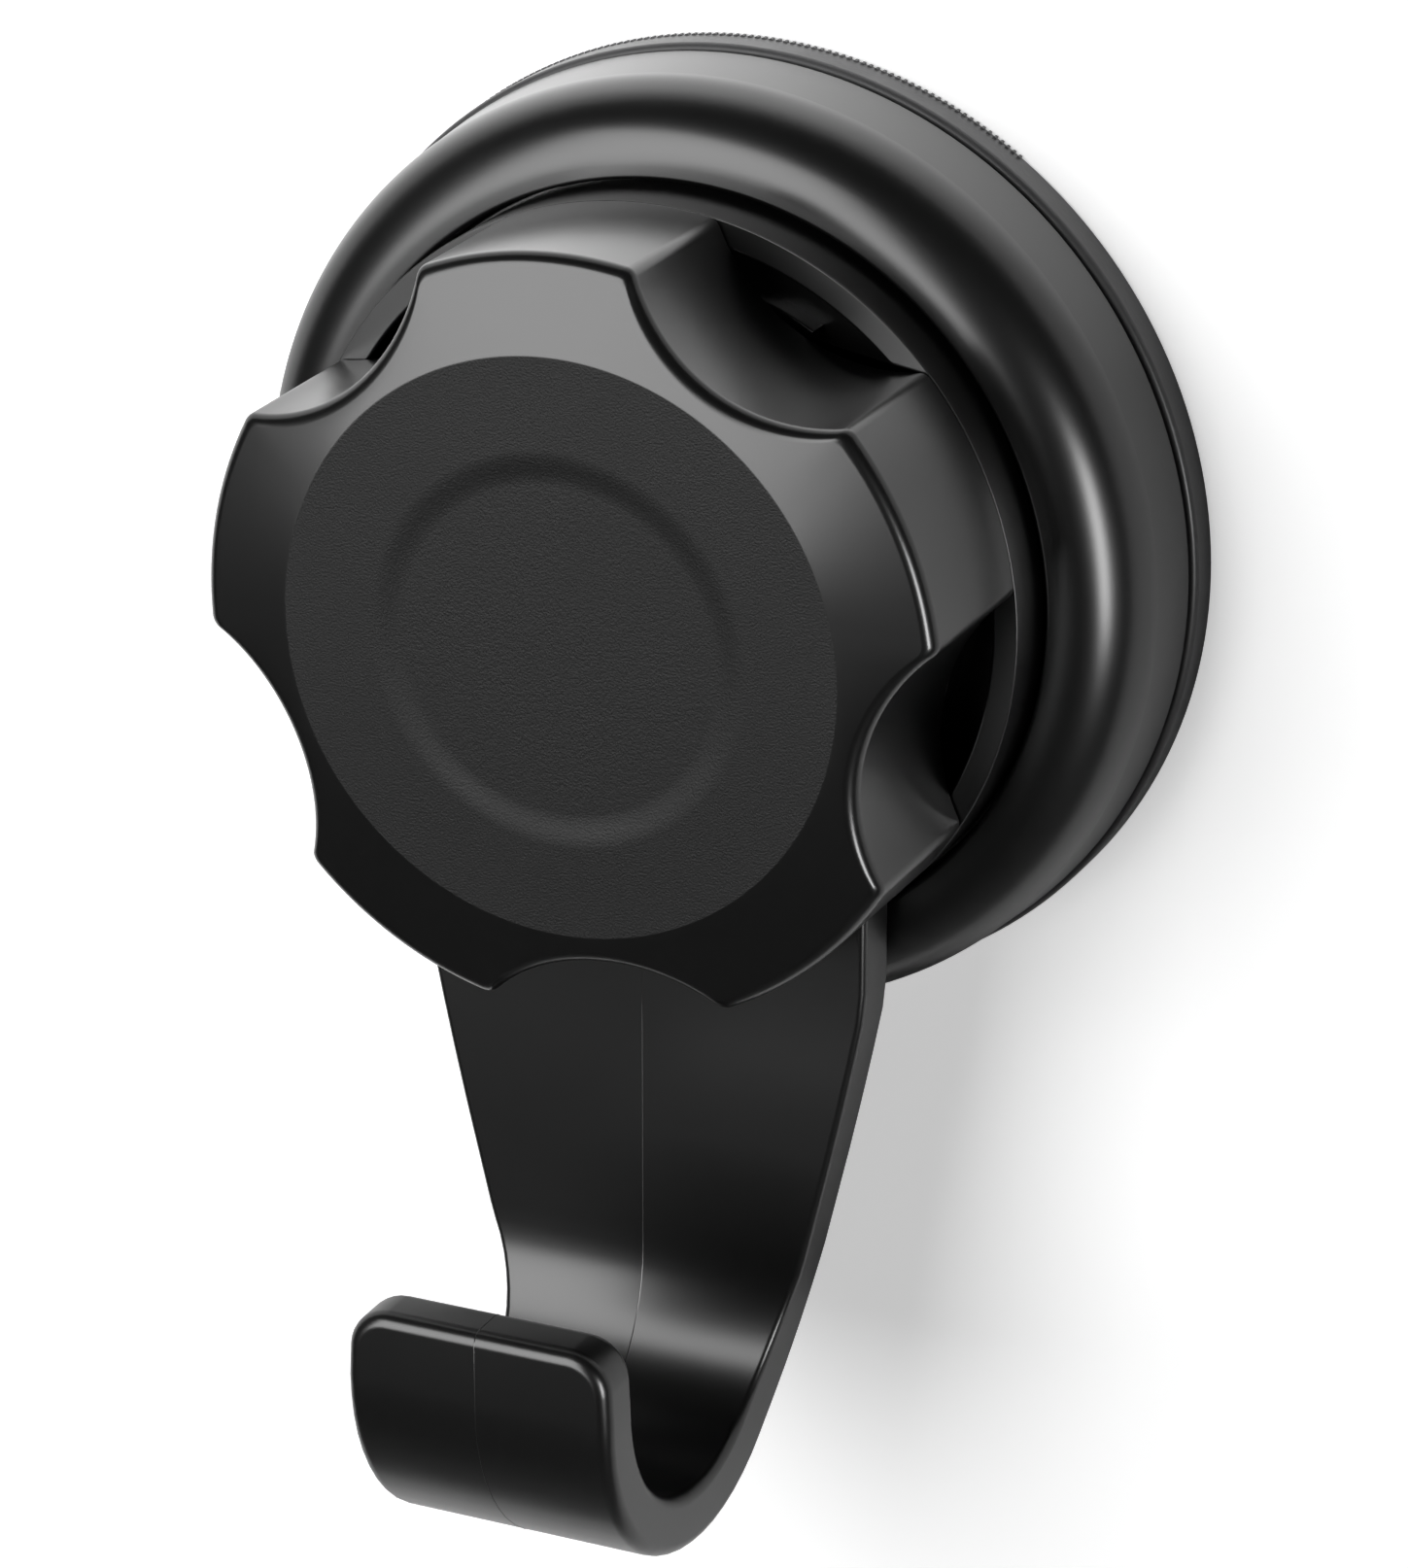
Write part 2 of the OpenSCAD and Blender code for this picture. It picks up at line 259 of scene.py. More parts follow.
def rounded(corners, steps=6):
    """A closed profile of (radius, depth) points from corners that each add their own rounding."""
    points = []
    for i, (radius, depth, bend) in enumerate(corners):
        here = Vector((radius, depth))
        if not bend:
            points.append(here)
            continue
        before = (Vector(corners[i - 1][:2]) - here).normalized()
        after = (Vector(corners[(i + 1) % len(corners)][:2]) - here).normalized()
        half = before.angle(after) / 2
        centre = here + (before + after).normalized() * bend / math.sin(half)
        start = (here + before * bend / math.tan(half) - centre).normalized()
        end = (here + after * bend / math.tan(half) - centre).normalized()
        count = max(steps, round(bend * math.pi / 2 / (0.45 * MM)))
        points += [centre + start.slerp(end, k / count) * bend for k in range(count + 1)]
    return points


def turned(name, corners, around=192):
    """Turns a closed profile round the knob's axis, ring by ring. A profile that touches the axis gets a pole."""
    profile = rounded(corners)
    first = profile[0]
    begin()
    bpy.ops.mesh.primitive_circle_add(vertices=around, radius=first.x, location=(0, -first.y, 0),
                                      rotation=(math.pi / 2, 0, 0))
    piece = settle(name)
    edit(piece, "EDGE")
    bpy.ops.mesh.select_all(action="SELECT")
    here = first
    for there in profile[1:] + [first]:
        bpy.ops.mesh.extrude_region_move(TRANSFORM_OT_translate={"value": (0, here.y - there.y, 0)})
        ratio = there.x / here.x
        bpy.ops.transform.resize(value=(ratio, 1, ratio), center_override=(0, -there.y, 0))
        here = there
    bpy.ops.mesh.select_all(action="SELECT")
    bpy.ops.mesh.remove_doubles(threshold=0.004 * MM)
    bpy.ops.mesh.normals_make_consistent(inside=False)
    begin()
    return piece


def spun_point(name, x, z, depth):
    """One point to draw with, at a place on the front view."""
    begin()
    bpy.ops.mesh.primitive_plane_add(size=MM, location=(x, -depth, z), rotation=(math.pi / 2, 0, 0))
    piece = settle(name)
    edit(piece, "VERT")
    bpy.ops.mesh.select_all(action="SELECT")
    bpy.ops.mesh.merge(type="CENTER")
    return piece


def on_front(radius, angle, depth=0.0):
    """A place on the front view, by its distance from the knob's axis and its angle from +X."""
    return Vector((radius * math.cos(angle), -depth, radius * math.sin(angle)))


def arc(centre, angle, steps):
    """Draws on from the selected points along an arc, anticlockwise on the front view."""
    bpy.ops.mesh.spin(steps=steps, angle=abs(angle), center=centre, axis=(0, math.copysign(1, angle), 0))


def lobe_edge(knob, radius, hollow_r, depth):
    """Draws one lobe's edge from the middle of a hollow to the middle of the next."""
    pitch = 2 * math.pi / knob.lobes
    first = knob.lobe_angle - pitch / 2
    corner = knob.corner_r
    far, near = radius - corner, hollow_r + corner
    at_axis = math.acos((far ** 2 + knob.hollow_at ** 2 - near ** 2) / (2 * far * knob.hollow_at))
    at_hollow = math.acos((near ** 2 + knob.hollow_at ** 2 - far ** 2) / (2 * near * knob.hollow_at))
    start = on_front(knob.hollow_at - hollow_r, first)
    piece = spun_point("lobe_edge", start.x, start.z, depth)
    arc(on_front(knob.hollow_at, first, depth), -at_hollow, 16)
    arc(on_front(far, first + at_axis, depth), at_axis + at_hollow, 6)
    arc((0, -depth, 0), pitch - 2 * at_axis, 18)
    arc(on_front(far, first + pitch - at_axis, depth), at_axis + at_hollow, 6)
    arc(on_front(knob.hollow_at, first + pitch, depth), -at_hollow, 16)
    begin()
    return piece


def disc_edge(knob, depth):
    """Draws the part of the disc's edge that belongs to one lobe, with as many points as the lobe's edge."""
    pitch = 2 * math.pi / knob.lobes
    start = on_front(knob.disc_r, knob.lobe_angle - pitch / 2)
    piece = spun_point("disc_edge", start.x, start.z, depth)
    arc((0, -depth, 0), pitch, 62)
    begin()
    return piece


def lobed_shell(name, knob, radius, hollow_r, face, rings):
    """An open cap with lobes, its wall from the back edge to the face, and the face's rings down to the middle."""
    back = lobe_edge(knob, radius, hollow_r - knob.hollow_draft, knob.back)
    front = lobe_edge(knob, radius, hollow_r, face - knob.fall)
    inner = disc_edge(knob, face - knob.fall)
    join(back, front)
    edit(back, "EDGE")
    bpy.ops.mesh.select_all(action="SELECT")
    bpy.ops.mesh.bridge_edge_loops()
    begin()
    join(back, inner)
    edit(back, "EDGE")
    pick(back, lambda p: -p.y > knob.back + MM)
    bpy.ops.mesh.select_mode(type="EDGE")
    bpy.ops.mesh.bridge_edge_loops()
    bpy.ops.mesh.select_all(action="SELECT")
    bpy.ops.mesh.spin(steps=knob.lobes, dupli=True, angle=2 * math.pi, center=(0, 0, 0), axis=(0, 1, 0))
    bpy.ops.mesh.select_all(action="SELECT")
    bpy.ops.mesh.remove_doubles(threshold=0.01 * MM)
    pick(back, lambda p: math.hypot(p.x, p.z) < knob.disc_r + 0.02 * MM)
    bpy.ops.transform.translate(value=(0, -knob.fall, 0), use_proportional_edit=True,
                                proportional_edit_falloff="LINEAR", proportional_size=radius - knob.disc_r)
    bpy.ops.mesh.select_mode(type="EDGE")
    here = Vector((knob.disc_r, face))
    for there in (Vector(ring) for ring in rings):
        bpy.ops.mesh.extrude_region_move(TRANSFORM_OT_translate={"value": (0, here.y - there.y, 0)})
        ratio = there.x / here.x
        bpy.ops.transform.resize(value=(ratio, 1, ratio), center_override=(0, -there.y, 0))
        here = there
    bpy.ops.mesh.merge(type="CENTER")
    begin()
    back.name = back.data.name = name
    return back


class MESH_OT_cup_hook_cup(bpy.types.Operator):
    """Builds the rubber cup: the vault with its boss, and the rim with its fine grip"""
    bl_idname = "mesh.cup_hook_cup"
    bl_label = "Rubber Cup"
    bl_options = {"REGISTER", "UNDO"}

    def execute(self, context):
        cup = context.scene.cup_sizes
        lip = cup.rim_r - cup.lip_w
        foot = lip + 1.2 * MM
        flange, thread = 7.05 * MM, 4.05 * MM
        bottom, top = 4.55 * MM, 6.25 * MM
        vault = turned("rubber_cup", [
            (0.05 * MM, cup.space_h, 0), (cup.boss_r - 2 * MM, cup.space_h, 6 * MM), (lip, 0, 8 * MM),
            (foot, 0, 0), (foot, cup.rim_t, 0),
            (cup.boss_r, cup.space_h + cup.skin_t, 1 * MM), (cup.boss_r, 8 * MM, 0.4 * MM), (thread, 8 * MM, 0.2 * MM),
            (thread, top, 0), (flange, top, 0), (flange, bottom, 0), (0.05 * MM, bottom, 0)])
        finish(vault, doubles=0.001)
        rim = turned("cup_rim", [
            (foot, 0, 0), (cup.rim_r, 0, 0.15 * MM), (cup.rim_r, cup.rim_t, 0.5 * MM), (foot, cup.rim_t, 0)])
        tooth = self.tooth(cup)
        join(rim, tooth)
        finish(rim, doubles=0.001)
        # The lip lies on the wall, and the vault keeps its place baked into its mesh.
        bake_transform(vault)
        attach(rim, "base")
        for piece in (vault, rim):
            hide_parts("suction_cup")
            piece.data.materials.append(rubber(context))
        return {"FINISHED"}

    def tooth(self, cup):
        """One ridge of the grip, copied along the top of the rim's back edge."""
        begin()
        deep = 0.4 * MM
        high = 0.45 * MM
        bpy.ops.mesh.primitive_cube_add(size=1, location=(cup.rim_r + cup.tooth_h - deep / 2, -high / 2 - 0.05 * MM, 0))
        bpy.ops.transform.resize(value=(deep, high, cup.tooth_w))
        piece = settle("grip_ridge")
        edit(piece, "EDGE")
        pick_edges(piece, lambda a, b: min(a.x, b.x) > cup.rim_r and abs(a.y - b.y) > 0.3 * MM)
        bpy.ops.mesh.bevel(offset=0.07 * MM, segments=2)
        bpy.ops.mesh.select_all(action="SELECT")
        bpy.ops.transform.rotate(value=math.radians(55), orient_axis="Y", center_override=(0, 0, 0))
        bpy.ops.mesh.spin(steps=cup.teeth, dupli=True, angle=math.radians(110), center=(0, 0, 0), axis=(0, 1, 0))
        begin()
        return piece


class MESH_OT_cup_hook_housing(bpy.types.Operator):
    """Builds the housing: flat side wall, round shoulder, pocket for the hook's head and foot on the rubber"""
    bl_idname = "mesh.cup_hook_housing"
    bl_label = "Housing"
    bl_options = {"REGISTER", "UNDO"}

    def execute(self, context):
        h = context.scene.housing_sizes
        back = context.scene.cup_sizes.rim_t
        front_r = h.back_r - h.draft
        inside_r = front_r - h.wall_t
        edge = back + 0.4 * MM
        nose = edge + h.wall_h
        top = nose + h.shoulder_r
        under = h.pocket_back - h.floor_t
        rise = top - h.wall_t - 0.4 * MM
        piece = turned("housing_shell", [
            (h.back_r, edge, 0.2 * MM), (front_r, nose, 0), (front_r, top, h.shoulder_r - 0.01 * MM),
            (h.pocket_r, top, 0.35 * MM), (h.pocket_r, h.pocket_back, 0.3 * MM), (h.hole_r, h.pocket_back, 0.2 * MM),
            (h.hole_r, under, 0.2 * MM), (h.pocket_r + h.wall_t, under, 0.3 * MM),
            (h.pocket_r + h.wall_t, rise, 0.5 * MM), (inside_r, rise, 1.4 * MM), (inside_r, back, 0.15 * MM),
            (inside_r + h.foot_w, back, 0.15 * MM), (inside_r + h.foot_w, edge, 0.1 * MM)])
        finish(piece)
        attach(piece, "base")
        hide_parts("housing")
        piece.data.materials.append(black_plastic(context, "housing black", 0.3))
        return {"FINISHED"}


class MESH_OT_cup_hook_hook(bpy.types.Operator):
    """Builds the hook: round head with its low ring, tapering arm, J bend and round-cornered tip, in one moulding"""
    bl_idname = "mesh.cup_hook_hook"
    bl_label = "Hook"
    bl_options = {"REGISTER", "UNDO"}

    def execute(self, context):
        hook = context.scene.hook_sizes
        housing = context.scene.housing_sizes
        inside_r = hook.head_r - hook.head_wall
        head = turned("hook_moulding", [
            (hook.head_r, housing.pocket_back, 0.3 * MM), (hook.head_r, hook.rim_depth, 0.1 * MM),
            (inside_r, hook.rim_depth, 0.25 * MM), (inside_r, hook.head_floor, 0.6 * MM),
            (housing.hole_r, hook.head_floor, 0.2 * MM), (housing.hole_r, housing.pocket_back, 0.2 * MM)])
        join(head, self.low_ring(hook), self.arm(hook))
        finish(head, sharp=34, doubles=0.001)
        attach(head, "base")
        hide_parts("hook")
        head.data.materials.append(black_plastic(context, "hook black", 0.29))
        return {"FINISHED"}

    def low_ring(self, hook):
        """The low ring on the head's floor, in three lengths."""
        begin()
        middle = hook.ring_r - hook.ring_w / 2
        height = hook.ring_h + 0.6 * MM
        bpy.ops.mesh.primitive_plane_add(size=1, location=(middle, -hook.head_floor - hook.ring_h + height / 2, 0))
        bpy.ops.transform.resize(value=(hook.ring_w, height, 1))
        ring = settle("low_ring")
        edit(ring, "VERT")
        bpy.ops.mesh.select_all(action="SELECT")
        bpy.ops.mesh.bevel(offset=0.2 * MM, segments=2, affect="VERTICES")
        bpy.ops.mesh.select_all(action="SELECT")
        bpy.ops.transform.rotate(value=math.radians(60), orient_axis="Y", center_override=(0, 0, 0))
        bpy.ops.mesh.spin(steps=36, angle=math.radians(102), center=(0, 0, 0), axis=(0, 1, 0))
        bpy.ops.mesh.select_all(action="SELECT")
        bpy.ops.mesh.spin(steps=3, dupli=True, angle=2 * math.pi * 2 / 3, center=(0, 0, 0), axis=(0, 1, 0))
        begin()
        return ring

    def arm(self, hook):
        """The arm, bend and tip, drawn as one strip from the head down and round, then cut clear of the knob."""
        begin()
        front, back = hook.arm_front, hook.arm_front - hook.arm_t
        bpy.ops.mesh.primitive_plane_add(size=1, location=(0, -(front + back) / 2, -21.9 * MM))
        bpy.ops.transform.resize(value=(2 * 17.45 * MM, hook.arm_t, 1))
        arm = settle("arm")
        edit(arm, "FACE")
        bpy.ops.mesh.select_all(action="SELECT")
        z, half = -21.9, 17.45
        for next_z, next_half in ((-28, 17.45), (-30.5, 17.2), (-34, 16.5), (-38, 15.65), (-42, 14.75), (-46, 13.8),
                                  (-50, 12.85), (-hook.bend_drop / MM, 12.5)):
            bpy.ops.mesh.extrude_region_move(TRANSFORM_OT_translate={"value": (0, 0, (next_z - z) * MM)})
            bpy.ops.transform.resize(value=(next_half / half, 1, 1), center_override=(0, 0, 0))
            z, half = next_z, next_half
        steps = 28
        for i in range(1, steps + 1):
            left = max(1 - 3.5 * i / steps, 0)
            next_half = 10.3 + 2.2 * left ** 1.75
            bpy.ops.mesh.extrude_region_move(TRANSFORM_OT_translate={"value": (0, 0, 0)})
            bpy.ops.transform.rotate(value=math.pi / steps, orient_axis="X",
                                     center_override=(0, -front - hook.bend_r, -hook.bend_drop))
            bpy.ops.transform.resize(value=(next_half / half, 1, 1), center_override=(0, 0, 0))
            half = next_half
        bpy.ops.mesh.extrude_region_move(TRANSFORM_OT_translate={"value": (0, 0, hook.tip_rise)})
        bpy.ops.transform.resize(value=(10.05 / half, 1, 1), center_override=(0, 0, 0))
        tip_top = -hook.bend_drop + hook.tip_rise - 0.01 * MM
        pick_edges(arm, lambda a, b: min(a.z, b.z) > tip_top and a.x * b.x > 0 and -a.y > front + MM)
        bpy.ops.mesh.bevel(offset=hook.tip_round, segments=8)
        begin()
        edit(arm, "EDGE")
        bpy.ops.mesh.select_all(action="DESELECT")
        bpy.ops.mesh.edges_select_sharp(sharpness=math.radians(50))
        begin()
        weights = arm.data.attributes.new("bevel_weight_edge", "FLOAT", "EDGE")
        for edge in arm.data.edges:
            if edge.select:
                depth = -sum(arm.data.vertices[i].co.y for i in edge.vertices) / 2
                share = min(max((depth - front - hook.bend_r / 2) / hook.bend_r, 0), 1)
                weights.data[edge.index].value = hook.edge_share + (1 - hook.edge_share) * share
        modify(arm, "BEVEL", width=hook.edge_r, segments=5, limit_method="WEIGHT", use_clamp_overlap=False)
        self.cut(arm, hook.step_r, hook.rim_depth, 60 * MM)
        self.cut(arm, hook.head_r - hook.head_wall / 2, 5 * MM, 60 * MM)
        self.seam(arm, hook)
        return arm

    def cut(self, arm, radius, low, high):
        """Cuts a round clearance out of the arm between two depths."""
        begin()
        bpy.ops.mesh.primitive_cylinder_add(vertices=240, radius=radius, depth=high - low,
                                            location=(0, -(low + high) / 2, 0), rotation=(math.pi / 2, 0, 0))
        cutter = settle("round_cutter")
        modify(arm, "BOOLEAN", operation="DIFFERENCE", object=cutter, solver="EXACT")
        begin()
        cutter.select_set(True)
        bpy.ops.object.delete()

    def seam(self, arm, hook):
        """The fine moulding line down the middle of the arm and round to the tip."""
        side = 1.3 * hook.seam_h
        for x in (-side, 0, side):
            edit(arm, "FACE")
            bpy.ops.mesh.select_all(action="SELECT")
            bpy.ops.mesh.bisect(plane_co=(x - 0.08 * MM, 0, 0), plane_no=(1, 0, 0), threshold=0.001 * MM)
        pick(arm, lambda p: abs(p.x + 0.08 * MM) < 0.01 * MM)
        bpy.ops.transform.shrink_fatten(value=hook.seam_h)
        begin()


class MESH_OT_cup_hook_knob(bpy.types.Operator):
    """Builds the star knob: lobed cap with a falling face, textured disc, shallow dish, hub and ribs"""
    bl_idname = "mesh.cup_hook_knob"
    bl_label = "Star Knob"
    bl_options = {"REGISTER", "UNDO"}

    def execute(self, context):
        knob = context.scene.knob_sizes
        face, dish = knob.face, knob.dish_r
        rings = [(knob.disc_r - 0.12 * MM, face - 0.03 * MM), (dish + 4 * MM, face - 0.03 * MM)]
        for k in range(13):
            share = k / 12
            ease = (1 - math.cos(math.pi * share)) / 2
            rings.append((dish + 1.3 * MM - share * 2.6 * MM, face - 0.03 * MM - ease * knob.dish_depth))
        rings.append((1.5 * MM, face - 0.03 * MM - knob.dish_depth))
        cap = lobed_shell("star_knob", knob, knob.lobe_r, knob.hollow_r, face, rings)
        inside = face - knob.face_t
        lining = lobed_shell("knob_lining", knob, knob.lobe_r - knob.wall_t, knob.hollow_r + knob.wall_t, inside,
                             [(12 * MM, inside), (1.5 * MM, inside)])
        join(cap, lining)
        edit(cap, "EDGE")
        pick(cap, lambda p: -p.y < knob.back + 0.1 * MM)
        bpy.ops.mesh.select_mode(type="EDGE")
        bpy.ops.mesh.bridge_edge_loops()
        bpy.ops.mesh.select_all(action="SELECT")
        bpy.ops.mesh.normals_make_consistent(inside=False)
        pick(cap, lambda p: -p.y > face - knob.fall - 0.05 * MM and math.hypot(p.x, p.z) > knob.disc_r + 0.3 * MM)
        bpy.ops.mesh.select_mode(type="EDGE")
        bpy.ops.mesh.bevel(offset=knob.edge_r, segments=6, clamp_overlap=False)
        begin()
        join(cap, self.hub(knob))
        finish(cap, doubles=0.001)
        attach(cap, "knob")
        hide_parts("knob")
        cap.data.materials.append(knob_plastic(context))
        return {"FINISHED"}

    def hub(self, knob):
        """The hub and the ribs that join it to the walls."""
        tip = knob.face - knob.face_t / 2
        back = -STUD[1].y + 8.7 * MM
        hub = turned("knob_hub", [(knob.hub_r, back, 0.3 * MM), (knob.hub_r, tip, 0), (knob.bore_r, tip, 0),
                                  (knob.bore_r, back, 0.4 * MM)], around=96)
        begin()
        pitch = 2 * math.pi / knob.lobes
        inner = knob.hub_r - 0.5 * MM
        outer = knob.hollow_at - knob.hollow_r - knob.wall_t + 0.3 * MM
        deep = tip - knob.back - 3.8 * MM
        bpy.ops.mesh.primitive_cube_add(size=1, location=((inner + outer) / 2, -tip + deep / 2, 0))
        bpy.ops.transform.resize(value=(outer - inner, deep, knob.rib_t))
        rib = settle("knob_rib")
        edit(rib, "EDGE")
        pick_edges(rib, lambda a, b: max(a.y, b.y) > -tip + deep - MM and abs(a.z - b.z) < 0.1 * MM)
        bpy.ops.mesh.bevel(offset=0.3 * MM, segments=2)
        bpy.ops.mesh.select_all(action="SELECT")
        bpy.ops.transform.rotate(value=knob.lobe_angle + pitch / 2, orient_axis="Y", center_override=(0, 0, 0))
        bpy.ops.mesh.spin(steps=knob.lobes, dupli=True, angle=2 * math.pi - pitch, center=(0, 0, 0), axis=(0, 1, 0))
        join(hub, rib)
        return hub


class MESH_OT_cup_hook_screw(bpy.types.Operator):
    """Gives the screw that the cup holds its finish"""
    bl_idname = "mesh.cup_hook_screw"
    bl_label = "Screw"
    bl_options = {"REGISTER", "UNDO"}

    def execute(self, context):
        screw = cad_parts["threaded_stud"]
        screw.data.materials.clear()
        screw.data.materials.append(screw_plastic(context))
        return {"FINISHED"}


class SCENE_OT_cup_hook_studio(bpy.types.Operator):
    """Builds the backdrop, lamps, ambient light and camera"""
    bl_idname = "scene.cup_hook_studio"
    bl_label = "Studio"
    bl_options = {"REGISTER", "UNDO"}

    def execute(self, context):
        studio = context.scene.studio_settings
        self.backdrop(context)
        self.camera(context, studio)
        self.world(context, studio)
        self.lamp("front left softbox", (-23, 13), 0.7, (0.5, 0.62), 4.5)
        strip = self.lamp("right strip", (51.5, -5), 0.7, (0.18, 0.35), 2.4)
        strip.visible_diffuse = False
        self.lamp("back fill", (160, 20), 0.7, (0.5, 0.5), 3)
        context.scene.view_settings.view_transform = "Standard"
        return {"FINISHED"}

    def backdrop(self, context):
        """A wall that runs down and out into a floor, seen from its front only, and open behind the cup."""
        begin()
        opening_r = context.scene.cup_sizes.rim_r - 0.6 * MM
        bpy.ops.mesh.primitive_circle_add(vertices=96, radius=opening_r, location=(0, 0.1 * MM, 0),
                                          rotation=(math.pi / 2, 0, 0))
        opening = settle("opening")
        begin()
        bpy.ops.mesh.primitive_plane_add(size=1, location=(0, 0.1 * MM, 0.25), rotation=(math.pi / 2, 0, 0))
        bpy.ops.transform.resize(value=(5, 1, 3.5))
        wall = settle("backdrop")
        edit(wall, "FACE")
        bpy.ops.mesh.select_all(action="SELECT")
        bpy.ops.mesh.delete(type="ONLY_FACE")
        join(wall, opening)
        edit(wall, "EDGE")
        bpy.ops.mesh.select_all(action="SELECT")
        bpy.ops.mesh.bridge_edge_loops()
        pick_edges(wall, lambda a, b: max(a.z, b.z) < -1)
        bpy.ops.mesh.extrude_region_move(TRANSFORM_OT_translate={"value": (0, -3, 0)})
        pick_edges(wall, lambda a, b: max(a.z, b.z) < -1 and min(a.y, b.y) > -0.01)
        bpy.ops.mesh.bevel(offset=0.3, segments=12)
        begin()
        wall.select_set(True)
        bpy.ops.object.shade_smooth()
        wall.data.materials.append(backdrop_paint(context))

    def camera(self, context, studio):
        """The camera at the photograph's angle."""
        right = Vector((math.cos(studio.azimuth), math.sin(studio.azimuth), 0))
        back = Vector((math.sin(studio.azimuth) * math.cos(studio.elevation),
                       -math.cos(studio.azimuth) * math.cos(studio.elevation), math.sin(studio.elevation)))
        up = back.cross(right)
        begin()
        bpy.ops.object.camera_add()
        camera = bpy.context.object
        camera.name = "camera"
        camera.matrix_world = Matrix.Translation(studio.camera_at) @ Matrix((right, up, back)).transposed().to_4x4()
        camera.data.lens = studio.lens
        camera.data.clip_start, camera.data.clip_end = 0.01, 20
        context.scene.camera = camera

    def world(self, context, studio):
        """White where the camera looks past the backdrop, and a dim room for the light."""
        world = bpy.data.worlds.new("studio")
        context.scene.world = world
        world.use_nodes = True
        tree = world.node_tree
        tree.nodes.clear()
        path = tree.nodes.new("ShaderNodeLightPath")
        room = tree.nodes.new("ShaderNodeBackground")
        room.inputs["Color"].default_value = (1, 1, 1, 1)
        room.inputs["Strength"].default_value = studio.sky
        seen = tree.nodes.new("ShaderNodeBackground")
        seen.inputs["Color"].default_value = (1, 1, 1, 1)
        mix = tree.nodes.new("ShaderNodeMixShader")
        out = tree.nodes.new("ShaderNodeOutputWorld")
        tree.links.new(path.outputs["Is Camera Ray"], mix.inputs[0])
        tree.links.new(room.outputs[0], mix.inputs[1])
        tree.links.new(seen.outputs[0], mix.inputs[2])
        tree.links.new(mix.outputs[0], out.inputs[0])

    def lamp(self, name, angles, distance, size, power):
        """A rectangular lamp at (degrees to the right, degrees up), aimed at the object."""
        aim = Vector((0, -20 * MM, -15 * MM))
        right, up = (math.radians(a) for a in angles)
        away = Vector((math.sin(right) * math.cos(up), -math.cos(right) * math.cos(up), math.sin(up)))
        begin()
        bpy.ops.object.light_add(type="AREA")
        lamp = bpy.context.object
        lamp.name = name
        lamp.data.shape = "RECTANGLE"
        lamp.data.size, lamp.data.size_y = size
        lamp.data.energy = power
        lamp.location = aim + away * distance
        lamp.rotation_mode = "QUATERNION"
        lamp.rotation_quaternion = away.to_track_quat("Z", "Y")
        lamp.visible_camera = False
        return lamp


def material(name):
    """A new material with its tree emptied but for the shader and the output."""
    made = bpy.data.materials.new(name)
    made.use_nodes = True
    tree = made.node_tree
    return made, tree, tree.nodes["Principled BSDF"]


def grain(tree, scale, detail=2.0, stretch=(1, 1, 1)):
    """Noise in the object's own coordinates, in cells per metre."""
    where = tree.nodes.new("ShaderNodeTexCoord")
    placed = tree.nodes.new("ShaderNodeMapping")
    placed.inputs["Scale"].default_value = stretch
    noise = tree.nodes.new("ShaderNodeTexNoise")
    noise.inputs["Scale"].default_value = scale
    noise.inputs["Detail"].default_value = detail
    tree.links.new(where.outputs["Object"], placed.inputs["Vector"])
    tree.links.new(placed.outputs["Vector"], noise.inputs["Vector"])
    return noise


def spread(tree, source, low, high, at=(0.3, 0.7)):
    """Maps a texture's value from one range to another."""
    span = tree.nodes.new("ShaderNodeMapRange")
    span.inputs["From Min"].default_value, span.inputs["From Max"].default_value = at
    span.inputs["To Min"].default_value, span.inputs["To Max"].default_value = low, high
    tree.links.new(source, span.inputs["Value"])
    return span.outputs["Result"]


def bump(tree, shader, height, distance, strength=1.0):
    """Raises the surface by a height in metres times the texture."""
    raised = tree.nodes.new("ShaderNodeBump")
    raised.inputs["Strength"].default_value = strength
    raised.inputs["Distance"].default_value = distance
    tree.links.new(height, raised.inputs["Height"])
    tree.links.new(raised.outputs["Normal"], shader.inputs["Normal"])
    return raised


def black_plastic(context, name, rough):
    """Satin black moulded plastic: a little uneven in gloss, with the faint waviness of a moulding."""
    made, tree, shader = material(name)
    shader.inputs["Base Color"].default_value = (*context.scene.finishes.black, 1)
    shader.inputs["IOR"].default_value = 1.54
    shader.inputs["Coat Weight"].default_value = 0.6
    shader.inputs["Coat Roughness"].default_value = 0.26
    cloud = grain(tree, 90)
    tree.links.new(spread(tree, cloud.outputs["Fac"], rough - 0.01, rough + 0.02, (0.2, 0.8)), shader.inputs["Roughness"])
    fine = grain(tree, 2200)
    bump(tree, shader, fine.outputs["Fac"], 0.004 * MM, 0.4)
    return made


